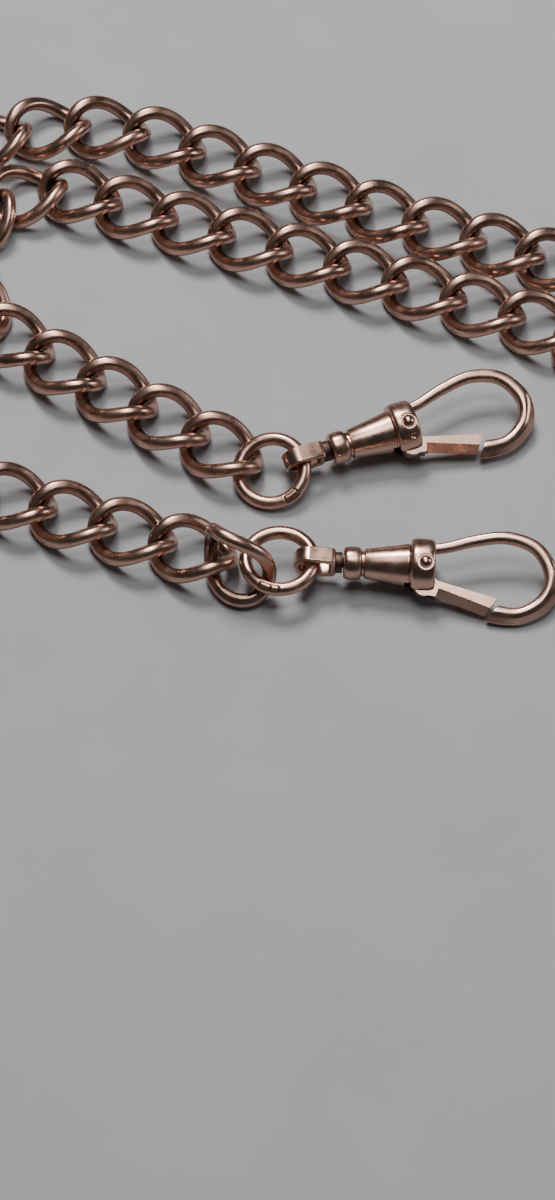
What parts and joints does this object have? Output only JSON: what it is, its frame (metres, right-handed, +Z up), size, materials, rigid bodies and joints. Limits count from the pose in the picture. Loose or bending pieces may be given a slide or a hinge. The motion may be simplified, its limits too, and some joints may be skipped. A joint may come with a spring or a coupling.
{
  "type": "pocket watch chain",
  "caption": "Curb chain for a pocket watch, twisted oval links, with a jump ring and a swivelling spring-gate snap hook at each end.",
  "frame": {"origin": "on the surface the chain lies on, under the middle of its layout", "axes": "+Z up, +X towards the snap hooks, +Y towards the far turns of the chain"},
  "size_m": [0.1094, 0.0723, 0.0083],
  "materials": {
    "chain": "polished",
    "rings": "polished",
    "clips": "polished",
    "spring": "satin"
  },
  "bodies": {
    "link_01": {"link_01": "chain"},
    "link_02": {"link_02": "chain"},
    "link_03": {"link_03": "chain"},
    "link_04": {"link_04": "chain"},
    "link_05": {"link_05": "chain"},
    "link_06": {"link_06": "chain"},
    "link_07": {"link_07": "chain"},
    "link_08": {"link_08": "chain"},
    "link_09": {"link_09": "chain"},
    "link_10": {"link_10": "chain"},
    "link_11": {"link_11": "chain"},
    "link_12": {"link_12": "chain"},
    "link_13": {"link_13": "chain"},
    "link_14": {"link_14": "chain"},
    "link_15": {"link_15": "chain"},
    "link_16": {"link_16": "chain"},
    "link_17": {"link_17": "chain"},
    "link_18": {"link_18": "chain"},
    "link_19": {"link_19": "chain"},
    "link_20": {"link_20": "chain"},
    "link_21": {"link_21": "chain"},
    "link_22": {"link_22": "chain"},
    "link_23": {"link_23": "chain"},
    "link_24": {"link_24": "chain"},
    "link_25": {"link_25": "chain"},
    "link_26": {"link_26": "chain"},
    "link_27": {"link_27": "chain"},
    "link_28": {"link_28": "chain"},
    "link_29": {"link_29": "chain"},
    "link_30": {"link_30": "chain"},
    "link_31": {"link_31": "chain"},
    "link_32": {"link_32": "chain"},
    "link_33": {"link_33": "chain"},
    "link_34": {"link_34": "chain"},
    "link_35": {"link_35": "chain"},
    "link_36": {"link_36": "chain"},
    "link_37": {"link_37": "chain"},
    "link_38": {"link_38": "chain"},
    "link_39_40": {"link_39_40": "chain"},
    "link_41": {"link_41": "chain"},
    "link_42": {"link_42": "chain"},
    "link_43_44": {"link_43_44": "chain"},
    "link_45": {"link_45": "chain"},
    "link_46": {"link_46": "chain"},
    "link_47": {"link_47": "chain"},
    "link_48": {"link_48": "chain"},
    "link_49": {"link_49": "chain"},
    "link_50": {"link_50": "chain"},
    "ring_1": {"jump_ring_1": "rings"},
    "eye_1": {"swivel_eye_1": "clips"},
    "clip_1": {"clip_body_1": "clips", "gate_rivet_1": "clips"},
    "gate_1": {"gate_1": "clips"},
    "spring_1": {"gate_spring_1": "spring"},
    "ring_2": {"jump_ring_2": "rings"},
    "eye_2": {"swivel_eye_2": "clips"},
    "clip_2": {"clip_body_2": "clips", "gate_rivet_2": "clips"},
    "gate_2": {"gate_2": "clips"},
    "spring_2": {"gate_spring_2": "spring"}
  },
  "joints": [
    {"name": "gate_1_opening", "type": "hinge", "parent": "clip_1", "child": "gate_1", "pos_m": [0.015, -0.01175, 0.003], "axis": [0.1096, -0.289, 0.951], "range_deg": [0, 25], "stiffness_Nm_per_rad": 0.02, "springref_deg": -11.46},
    {"name": "gate_2_opening", "type": "hinge", "parent": "clip_2", "child": "gate_2", "pos_m": [0.01684, -0.03017, 0.00298], "axis": [0.0095, -0.3589, 0.9333], "range_deg": [0, 25], "stiffness_Nm_per_rad": 0.02, "springref_deg": -11.46},
    {"name": "gate_spring_1_bend", "type": "hinge", "parent": "clip_1", "child": "spring_1", "pos_m": [0.01073, -0.01376, 0.00288], "axis": [0.1096, -0.289, 0.951], "range_deg": [-12.5, 0]},
    {"name": "gate_spring_2_bend", "type": "hinge", "parent": "clip_2", "child": "spring_2", "pos_m": [0.01212, -0.03042, 0.00293], "axis": [0.0095, -0.3589, 0.9333], "range_deg": [-12.5, 0]},
    {"name": "swivel_1", "type": "hinge", "parent": "eye_1", "child": "clip_1", "pos_m": [0.0036, -0.0158, 0.00308], "axis": [0.9397, 0.342, -0.0044], "continuous": true},
    {"name": "swivel_2", "type": "hinge", "parent": "eye_2", "child": "clip_2", "pos_m": [0.00475, -0.02965, 0.0033], "axis": [0.9991, -0.0349, -0.0236], "continuous": true},
    {"name": "eye_1_turn", "type": "hinge", "parent": "ring_1", "child": "eye_1", "pos_m": [0.00359, -0.01577, 0.00295], "axis": [-0.3309, 0.9121, 0.2419], "range_deg": [-60, 60]},
    {"name": "eye_2_turn", "type": "hinge", "parent": "ring_2", "child": "eye_2", "pos_m": [0.00475, -0.02965, 0.0033], "axis": [0.0349, 0.9994, 0], "range_deg": [-60, 60]},
    {"name": "ring_1_turn", "type": "hinge", "parent": "link_01", "child": "ring_1", "pos_m": [-0.00349, -0.01631, 0.00161], "axis": [0.4082, 0.8165, 0.4082], "range_deg": [-40, 40]},
    {"name": "ring_2_turn", "type": "hinge", "parent": "link_50", "child": "ring_2", "pos_m": [-0.00022, -0.03152, 0.00224], "axis": [0.2832, 0.5468, 0.7879], "range_deg": [-45, 45]},
    {"name": "hinge_50", "type": "hinge", "parent": "link_49", "child": "link_50", "pos_m": [-0.00427, -0.02875, 0.00204], "axis": [0.2199, 0.6975, -0.682], "range_deg": [-30, 30]},
    {"name": "hinge_01", "type": "hinge", "parent": "link_02", "child": "link_01", "pos_m": [-0.00767, -0.01251, 0.00204], "axis": [0.393, 0.6168, -0.682], "range_deg": [-20, 20]},
    {"name": "hinge_49", "type": "hinge", "parent": "link_48", "child": "link_49", "pos_m": [-0.01261, -0.02612, 0.00204], "axis": [0.2199, 0.6975, 0.682], "range_deg": [-30, 30]},
    {"name": "hinge_02", "type": "hinge", "parent": "link_03", "child": "link_02", "pos_m": [-0.01357, -0.00875, 0.00204], "axis": [-0.393, -0.6168, 0.682], "range_deg": [-30, 30]},
    {"name": "hinge_48", "type": "hinge", "parent": "link_47", "child": "link_48", "pos_m": [-0.01759, -0.02445, 0.00204], "axis": [-0.2441, -0.6894, 0.682], "range_deg": [-30, 30]},
    {"name": "hinge_03", "type": "hinge", "parent": "link_04", "child": "link_03", "pos_m": [-0.02095, -0.00405, 0.00204], "axis": [-0.393, -0.6168, -0.682], "range_deg": [-25, 25]},
    {"name": "hinge_47", "type": "hinge", "parent": "link_46", "child": "link_47", "pos_m": [-0.0242, -0.02213, 0.00204], "axis": [-0.2561, -0.685, 0.682], "range_deg": [-20, 20]},
    {"name": "hinge_04", "type": "hinge", "parent": "link_05", "child": "link_04", "pos_m": [-0.02538, -0.00123, 0.00204], "axis": [0.393, 0.6168, -0.682], "range_deg": [-30, 30]},
    {"name": "hinge_46", "type": "hinge", "parent": "link_45", "child": "link_46", "pos_m": [-0.03239, -0.01906, 0.00204], "axis": [0.2561, 0.685, 0.682], "range_deg": [-30, 30]},
    {"name": "hinge_05", "type": "hinge", "parent": "link_06", "child": "link_05", "pos_m": [-0.03276, 0.00348, 0.00204], "axis": [-0.393, -0.6168, -0.682], "range_deg": [-20, 20]},
    {"name": "hinge_45", "type": "hinge", "parent": "link_43_44", "child": "link_45", "pos_m": [-0.03739, -0.01734, 0.00204], "axis": [-0.4452, -0.5802, 0.682], "range_deg": [-30, 30]},
    {"name": "hinge_06", "type": "hinge", "parent": "link_07", "child": "link_06", "pos_m": [-0.03583, 0.00975, 0.00204], "axis": [0.6365, 0.3601, 0.682], "range_deg": [-30, 17.5]},
    {"name": "hinge_07", "type": "hinge", "parent": "link_08", "child": "link_07", "pos_m": [-0.03555, 0.01663, 0.00204], "axis": [-0.3492, 0.6585, -0.6667], "range_deg": [-25, 5]},
    {"name": "hinge_43", "type": "hinge", "parent": "link_42", "child": "link_43_44", "pos_m": [-0.0475, -0.00774, 0.00204], "axis": [-0.685, -0.2561, 0.682], "range_deg": [-25, 25]},
    {"name": "hinge_08", "type": "hinge", "parent": "link_09", "child": "link_08", "pos_m": [-0.03102, 0.02194, 0.00204], "axis": [-0.1174, -0.736, 0.6667], "range_deg": [-5, 30]},
    {"name": "hinge_42", "type": "hinge", "parent": "link_41", "child": "link_42", "pos_m": [-0.05056, 0.00046, 0.00204], "axis": [-0.685, -0.2561, -0.682], "range_deg": [-10, 20]},
    {"name": "hinge_09", "type": "hinge", "parent": "link_10", "child": "link_09", "pos_m": [-0.02421, 0.02345, 0.00204], "axis": [0.5368, 0.5172, -0.6667], "range_deg": [-30, 5]},
    {"name": "hinge_41", "type": "hinge", "parent": "link_39_40", "child": "link_41", "pos_m": [-0.05098, 0.00576, 0.00204], "axis": [0.7167, -0.1458, -0.682], "range_deg": [-7.5, 25]},
    {"name": "hinge_10", "type": "hinge", "parent": "link_11", "child": "link_10", "pos_m": [-0.01962, 0.02119, 0.00204], "axis": [-0.2441, -0.6894, -0.682], "range_deg": [-20, 20]},
    {"name": "hinge_11", "type": "hinge", "parent": "link_12", "child": "link_11", "pos_m": [-0.01138, 0.01827, 0.00204], "axis": [0.2441, 0.6894, -0.682], "range_deg": [-20, 10]},
    {"name": "hinge_39", "type": "hinge", "parent": "link_38", "child": "link_39_40", "pos_m": [-0.04595, 0.02056, 0.00204], "axis": [-0.6573, 0.3206, -0.682], "range_deg": [-7.5, 25]},
    {"name": "hinge_12", "type": "hinge", "parent": "link_13", "child": "link_12", "pos_m": [-0.00478, 0.01593, 0.00204], "axis": [-0.2441, -0.6894, 0.682], "range_deg": [-5, 25]},
    {"name": "hinge_38", "type": "hinge", "parent": "link_37", "child": "link_38", "pos_m": [-0.04251, 0.02459, 0.00204], "axis": [-0.4195, 0.5991, 0.682], "range_deg": [-30, 5]},
    {"name": "hinge_13", "type": "hinge", "parent": "link_14", "child": "link_13", "pos_m": [0.00017, 0.01418, 0.00204], "axis": [-0.2441, -0.6894, -0.682], "range_deg": [-20, 5]},
    {"name": "hinge_37", "type": "hinge", "parent": "link_36", "child": "link_37", "pos_m": [-0.03534, 0.02961, 0.00204], "axis": [0.4195, -0.5991, 0.682], "range_deg": [-20, 7.5]},
    {"name": "hinge_14", "type": "hinge", "parent": "link_15", "child": "link_14", "pos_m": [0.00842, 0.01126, 0.00204], "axis": [0.2441, 0.6894, -0.682], "range_deg": [-25, 2.5]},
    {"name": "hinge_36", "type": "hinge", "parent": "link_35", "child": "link_36", "pos_m": [-0.03037, 0.03147, 0.00204], "axis": [-0.0764, 0.7273, 0.682], "range_deg": [-25, 7.5]},
    {"name": "hinge_15", "type": "hinge", "parent": "link_16", "child": "link_15", "pos_m": [0.01337, 0.00951, 0.00204], "axis": [0.2441, 0.6894, 0.682], "range_deg": [-2.5, 25]},
    {"name": "hinge_35", "type": "hinge", "parent": "link_34", "child": "link_35", "pos_m": [-0.02167, 0.03238, 0.00204], "axis": [-0.0764, 0.7273, -0.682], "range_deg": [-5, 25]},
    {"name": "hinge_16", "type": "hinge", "parent": "link_17", "child": "link_16", "pos_m": [0.01997, 0.00718, 0.00204], "axis": [0.2501, 0.6872, 0.682], "range_deg": [-2.5, 20]},
    {"name": "hinge_34", "type": "hinge", "parent": "link_33", "child": "link_34", "pos_m": [-0.01475, 0.03113, 0.00204], "axis": [0.1081, 0.7233, -0.682], "range_deg": [-2.5, 25]},
    {"name": "hinge_17", "type": "hinge", "parent": "link_18", "child": "link_17", "pos_m": [0.02655, 0.00479, 0.00204], "axis": [0.2561, 0.685, 0.682], "range_deg": [0, 25]},
    {"name": "hinge_33", "type": "hinge", "parent": "link_32", "child": "link_33", "pos_m": [-0.00837, 0.02818, 0.00204], "axis": [-0.2858, -0.6732, 0.682], "range_deg": [-30, 2.5]},
    {"name": "hinge_18", "type": "hinge", "parent": "link_19", "child": "link_18", "pos_m": [0.03475, 0.00173, 0.00204], "axis": [0.2561, 0.685, -0.682], "range_deg": [-17.5, 0]},
    {"name": "hinge_32", "type": "hinge", "parent": "link_31", "child": "link_32", "pos_m": [-0.00354, 0.02613, 0.00204], "axis": [-0.2858, -0.6732, -0.682], "range_deg": [-2.5, 20]},
    {"name": "hinge_19", "type": "hinge", "parent": "link_20", "child": "link_19", "pos_m": [0.03703, -0.00277, 0.00204], "axis": [0.0891, 0.7259, 0.682], "range_deg": [0, 25]},
    {"name": "hinge_31", "type": "hinge", "parent": "link_30", "child": "link_31", "pos_m": [0.00452, 0.02271, 0.00204], "axis": [0.2858, 0.6732, -0.682], "range_deg": [-2.5, 30]},
    {"name": "hinge_20", "type": "hinge", "parent": "link_21", "child": "link_20", "pos_m": [0.04572, -0.00384, 0.00204], "axis": [0.0891, 0.7259, -0.682], "range_deg": [-30, 0]},
    {"name": "hinge_30", "type": "hinge", "parent": "link_29", "child": "link_30", "pos_m": [0.00934, 0.02064, 0.00204], "axis": [-0.268, -0.6805, -0.682], "range_deg": [0, 25]},
    {"name": "hinge_21", "type": "hinge", "parent": "link_22", "child": "link_21", "pos_m": [0.05081, 0.00073, 0.00204], "axis": [0.4247, -0.5954, 0.682], "range_deg": [0, 20]},
    {"name": "hinge_29", "type": "hinge", "parent": "link_28", "child": "link_29", "pos_m": [0.01748, 0.01743, 0.00204], "axis": [-0.268, -0.6805, 0.682], "range_deg": [-30, 2.5]},
    {"name": "hinge_23", "type": "hinge", "parent": "link_22", "child": "link_23", "pos_m": [0.05148, 0.00753, 0.00204], "axis": [-0.7154, 0.1521, -0.682], "range_deg": [0, 25]},
    {"name": "hinge_28", "type": "hinge", "parent": "link_27", "child": "link_28", "pos_m": [0.02242, 0.01563, 0.00204], "axis": [-0.2321, -0.6936, -0.682], "range_deg": [0, 20]},
    {"name": "hinge_24", "type": "hinge", "parent": "link_23", "child": "link_24", "pos_m": [0.04902, 0.0117, 0.00204], "axis": [0.2138, 0.6994, -0.682], "range_deg": [0, 20]},
    {"name": "hinge_27", "type": "hinge", "parent": "link_26", "child": "link_27", "pos_m": [0.03072, 0.01286, 0.00204], "axis": [-0.2321, -0.6936, 0.682], "range_deg": [-30, 0]},
    {"name": "hinge_25", "type": "hinge", "parent": "link_24", "child": "link_25", "pos_m": [0.04065, 0.01426, 0.00204], "axis": [0.2138, 0.6994, 0.682], "range_deg": [-20, 0]},
    {"name": "hinge_26", "type": "hinge", "parent": "link_25", "child": "link_26", "pos_m": [0.03702, 0.01075, 0.00204], "axis": [-0.4305, 0.9026, 0], "range_deg": [-5, 20]}
  ],
  "couplings": [
    {"joint": "gate_spring_1_bend", "follows": "gate_1_opening", "ratio": -0.5},
    {"joint": "gate_spring_2_bend", "follows": "gate_2_opening", "ratio": -0.5}
  ]
}
